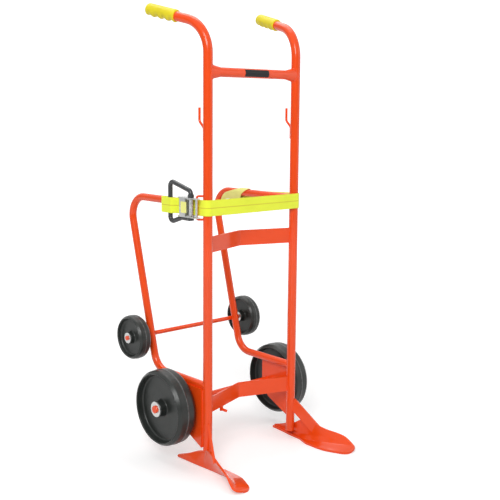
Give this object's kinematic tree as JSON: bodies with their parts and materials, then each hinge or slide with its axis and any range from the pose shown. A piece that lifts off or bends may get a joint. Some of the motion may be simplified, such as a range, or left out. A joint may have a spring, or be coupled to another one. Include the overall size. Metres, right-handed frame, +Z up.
{
  "type": "drum trolley",
  "caption": "Upright tubular drum trolley with bent-back handles, spoon toes, bent cradle plates, a strap with a ratchet buckle, main wheels and raised rear wheels.",
  "frame": {"origin": "on the floor plane under the soles, below the middle of the whole trolley's bounding box", "axes": "+Z up along the uprights, -Y forward to the toes, +Y back to the raised wheels, +X to the right seen from the toe side"},
  "size_m": [0.598, 0.6562, 1.4651],
  "materials": {
    "frame_paint": "gloss orange-red powder coat",
    "grip_plastic": "satin yellow moulded plastic",
    "label_black": "satin black, bare",
    "wheel_rubber": "matt charcoal moulded rubber",
    "washer_zinc": "bright zinc plate",
    "belt_webbing": "woven fluorescent yellow webbing",
    "buckle_zinc": "zinc plated steel",
    "lever_coating": "satin dark grey coating"
  },
  "bodies": {
    "trolley_frame": {"upright_right": "frame_paint", "upright_left": "frame_paint", "top_cross_tube": "frame_paint", "strap_hook_right": "frame_paint", "strap_hook_left": "frame_paint", "middle_cradle_plate": "frame_paint", "lower_cradle_plate": "frame_paint", "cradle_peg": "frame_paint", "rear_frame_right": "frame_paint", "rear_frame_left": "frame_paint", "foot_right": "frame_paint", "foot_left": "frame_paint", "toe_brace_right": "frame_paint", "toe_brace_left": "frame_paint", "axle_plate_right": "frame_paint", "axle_plate_left": "frame_paint", "belt_loop_right": "frame_paint", "belt_loop_left": "frame_paint", "main_axle": "frame_paint", "rear_axle": "frame_paint", "grip_right": "grip_plastic", "grip_left": "grip_plastic", "label_plate": "label_black", "main_washers": "washer_zinc", "rear_washers": "washer_zinc", "belt": "belt_webbing", "ratchet_frame": "buckle_zinc"},
    "right_main_wheel": {"main_wheel_right": "wheel_rubber"},
    "left_main_wheel": {"main_wheel_left": "wheel_rubber"},
    "right_rear_wheel": {"rear_wheel_right": "wheel_rubber"},
    "left_rear_wheel": {"rear_wheel_left": "wheel_rubber"},
    "lever": {"ratchet_lever": "lever_coating", "belt_tail": "belt_webbing"},
    "spindle": {"ratchet_spindle": "buckle_zinc"},
    "pawl": {"ratchet_pawl": "buckle_zinc"}
  },
  "joints": [
    {"name": "right_main_wheel_spin", "type": "hinge", "parent": "trolley_frame", "child": "right_main_wheel", "pos_m": [0.255, 0.04788, 0.175], "axis": [1, 0, 0], "continuous": true},
    {"name": "left_main_wheel_spin", "type": "hinge", "parent": "trolley_frame", "child": "left_main_wheel", "pos_m": [-0.255, 0.04788, 0.175], "axis": [1, 0, 0], "continuous": true},
    {"name": "right_rear_wheel_spin", "type": "hinge", "parent": "trolley_frame", "child": "right_rear_wheel", "pos_m": [0.2486, 0.23248, 0.373], "axis": [1, 0, 0], "continuous": true},
    {"name": "left_rear_wheel_spin", "type": "hinge", "parent": "trolley_frame", "child": "left_rear_wheel", "pos_m": [-0.2486, 0.23248, 0.373], "axis": [1, 0, 0], "continuous": true},
    {"name": "lever_swing", "type": "hinge", "parent": "trolley_frame", "child": "lever", "pos_m": [-0.222, -0.04813, 0.837], "axis": [0, 0, 1], "range_deg": [0, 110]},
    {"name": "spindle_turn", "type": "hinge", "parent": "trolley_frame", "child": "spindle", "pos_m": [-0.222, -0.04813, 0.837], "axis": [0, 0, 1], "continuous": true},
    {"name": "pawl_slide", "type": "slide", "parent": "trolley_frame", "child": "pawl", "axis": [0, 1, 0], "range_m": [0, 0.006], "stiffness_N_per_m": 400, "springref_m": -0.004}
  ]
}
